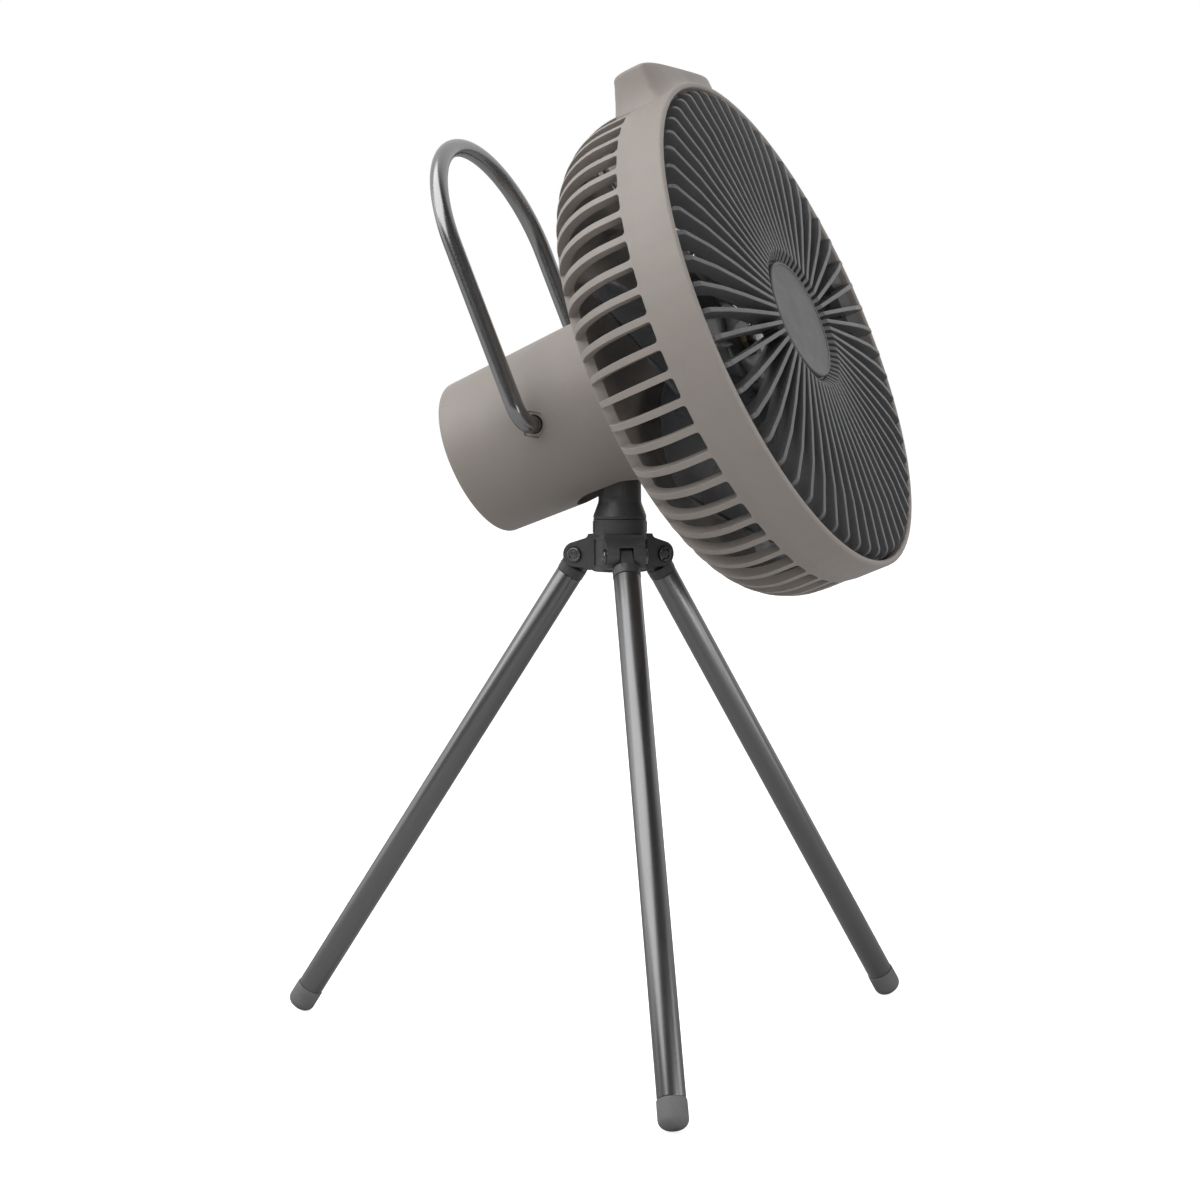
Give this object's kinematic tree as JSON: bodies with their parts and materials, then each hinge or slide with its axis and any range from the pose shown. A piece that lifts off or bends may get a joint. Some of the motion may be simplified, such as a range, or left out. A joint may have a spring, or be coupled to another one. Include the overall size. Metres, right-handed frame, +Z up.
{
  "type": "portable tripod fan",
  "caption": "Round battery table fan with a caged head that tilts and swivels on a folding three-leg stand, with a swinging bail handle behind the cage.",
  "frame": {"origin": "on the standing surface, under the middle of the bounding box", "axes": "+Z up, -Y is the side the fan blows toward, +X is the fan's left as it faces -Y"},
  "size_m": [0.221, 0.2198, 0.3254],
  "materials": {
    "taupe_plastic": "fine matte",
    "charcoal_plastic": "matte",
    "grille_plastic": "matte",
    "cap_plastic": "satin",
    "blade_plastic": "semi gloss",
    "handle_steel": "polished",
    "turned_steel": "turned",
    "screw_steel": "zinc plated",
    "pin_steel": "blackened",
    "nut_brass": "turned",
    "rotor_can": "plated",
    "stator_copper": "enamelled wire",
    "base_alloy": "cast",
    "leg_aluminium": "anodised gunmetal",
    "foot_rubber": "matte",
    "panel_plastic": "matte",
    "button_plastic": "matte",
    "lens_clear": "clear",
    "board_green": "solder mask",
    "cell_wrap": "shrink wrap over a steel can",
    "tray_plastic": "moulded",
    "bracket_steel": "pressed",
    "washer_nylon": "nylon"
  },
  "bodies": {
    "stand": {"tripod_hub": "charcoal_plastic", "leg_pin_1": "pin_steel", "leg_pin_2": "pin_steel", "leg_pin_3": "pin_steel", "pin_nut_1": "pin_steel", "pin_nut_2": "pin_steel", "pin_nut_3": "pin_steel"},
    "neck": {"neck_post": "charcoal_plastic", "swivel_bolt": "screw_steel", "swivel_washer": "washer_nylon"},
    "head": {"rear_basket": "taupe_plastic", "front_grille": "grille_plastic", "grille_cap": "cap_plastic", "motor_stator": "stator_copper", "motor_base": "base_alloy", "bearing_front": "turned_steel", "bearing_rear": "turned_steel", "rear_barrel": "taupe_plastic", "barrel_screw_1": "screw_steel", "barrel_screw_2": "screw_steel", "barrel_screw_3": "screw_steel", "rear_panel": "panel_plastic", "level_lens": "lens_clear", "charge_port": "turned_steel", "control_board": "board_green", "battery_cell_a": "cell_wrap", "battery_cell_b": "cell_wrap", "battery_tray": "tray_plastic", "tilt_bracket": "bracket_steel", "tilt_axle": "turned_steel", "tilt_nut": "turned_steel", "friction_washer_l": "washer_nylon", "friction_washer_r": "washer_nylon", "handle_bush_l": "charcoal_plastic", "handle_bush_r": "charcoal_plastic"},
    "impeller": {"fan_blade": "blade_plastic", "blade_nut": "nut_brass", "motor_shaft": "turned_steel", "motor_rotor": "rotor_can"},
    "handle": {"carry_handle": "handle_steel"},
    "button": {"power_button": "button_plastic"},
    "leg_1": {"leg_collar_1": "charcoal_plastic", "leg_tube_1": "leg_aluminium", "leg_foot_1": "foot_rubber"},
    "leg_2": {"leg_collar_2": "charcoal_plastic", "leg_tube_2": "leg_aluminium", "leg_foot_2": "foot_rubber"},
    "leg_3": {"leg_collar_3": "charcoal_plastic", "leg_tube_3": "leg_aluminium", "leg_foot_3": "foot_rubber"}
  },
  "joints": [
    {"name": "head_pan", "type": "hinge", "parent": "stand", "child": "neck", "pos_m": [0, -0.01698, 0.1775], "axis": [0, 0, 1], "range_deg": [-170, 170]},
    {"name": "head_tilt", "type": "hinge", "parent": "neck", "child": "head", "pos_m": [0, -0.01698, 0.20515], "axis": [-1, 0, 0], "range_deg": [-2, 12]},
    {"name": "impeller_spin", "type": "hinge", "parent": "head", "child": "impeller", "pos_m": [0, -0.05209, 0.23169], "axis": [0, -0.9239, 0.3827], "continuous": true},
    {"name": "handle_swing", "type": "hinge", "parent": "head", "child": "handle", "pos_m": [0, 0.00242, 0.20911], "axis": [1, 0, 0], "range_deg": [-100, 25]},
    {"name": "button_press", "type": "slide", "parent": "head", "child": "button", "axis": [0, -0.9239, 0.3827], "range_m": [0, 0.0008], "stiffness_N_per_m": 800, "springref_m": -0.0003},
    {"name": "leg_fold_1", "type": "hinge", "parent": "stand", "child": "leg_1", "pos_m": [-0.01204, -0.02373, 0.1653], "axis": [0.4894, -0.8721, 0], "range_deg": [0, 33.9]},
    {"name": "leg_fold_2", "type": "hinge", "parent": "stand", "child": "leg_2", "pos_m": [0.01187, -0.02403, 0.1653], "axis": [0.5105, 0.8599, 0], "range_deg": [0, 33.9]},
    {"name": "leg_fold_3", "type": "hinge", "parent": "stand", "child": "leg_3", "pos_m": [0.00017, -0.00318, 0.1653], "axis": [-0.9999, 0.0122, 0], "range_deg": [0, 33.9]}
  ]
}
